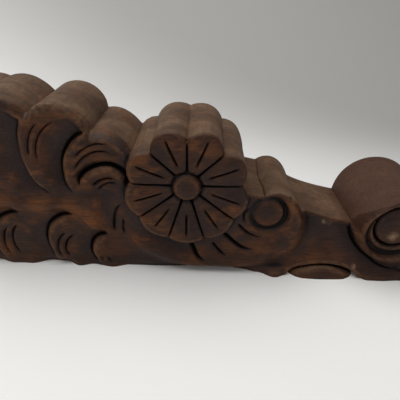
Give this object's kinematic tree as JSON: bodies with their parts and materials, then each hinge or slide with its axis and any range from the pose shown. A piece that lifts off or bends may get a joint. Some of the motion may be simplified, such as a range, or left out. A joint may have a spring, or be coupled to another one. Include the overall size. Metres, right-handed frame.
{
  "type": "carved wooden corbel bracket",
  "caption": "Carved wooden corbel bracket: one dark stained block stepping down from leaf lobes past a rosette and a saddle to an end volute, with a long flat fixing face.",
  "frame": {"origin": "middle of the flat fixing face, halfway along it and across the thickness, straight below the rosette's centre", "axes": "+X along the block towards the volute end, +Z away from the fixing face, the show face looks along -Y"},
  "size_m": [0.4058, 0.089, 0.15],
  "materials": {
    "stained_wood": "dark brown stain, satin, worn to orange brown on the raised carving"
  },
  "bodies": {
    "root": {"corbel": "stained_wood"}
  },
  "joints": []
}
